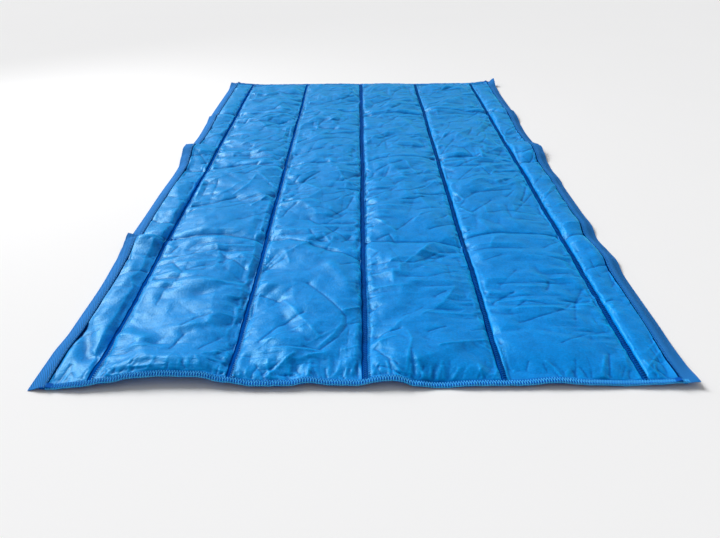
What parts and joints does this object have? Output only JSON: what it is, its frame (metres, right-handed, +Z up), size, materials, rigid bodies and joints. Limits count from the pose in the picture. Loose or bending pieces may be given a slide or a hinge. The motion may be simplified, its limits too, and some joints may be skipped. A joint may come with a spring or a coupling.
{
  "type": "disposable quilted blanket",
  "caption": "Thin quilted blanket of filled film, sewn into lengthwise channels with tape-bound long edges, laid out flat with packing creases.",
  "frame": {"origin": "on the floor under the middle of the blanket", "axes": "+X across the blanket, +Y along it from the near end to the far end, +Z up"},
  "size_m": [1.122, 1.9, 0.0375],
  "materials": {
    "film": "thin crinkled film with a soft gloss",
    "binding": "matt, finely ribbed tape",
    "thread": "matt sewing thread"
  },
  "bodies": {
    "root": {"quilt": "film", "side_tape_left": "binding", "side_tape_right": "binding"}
  },
  "joints": []
}
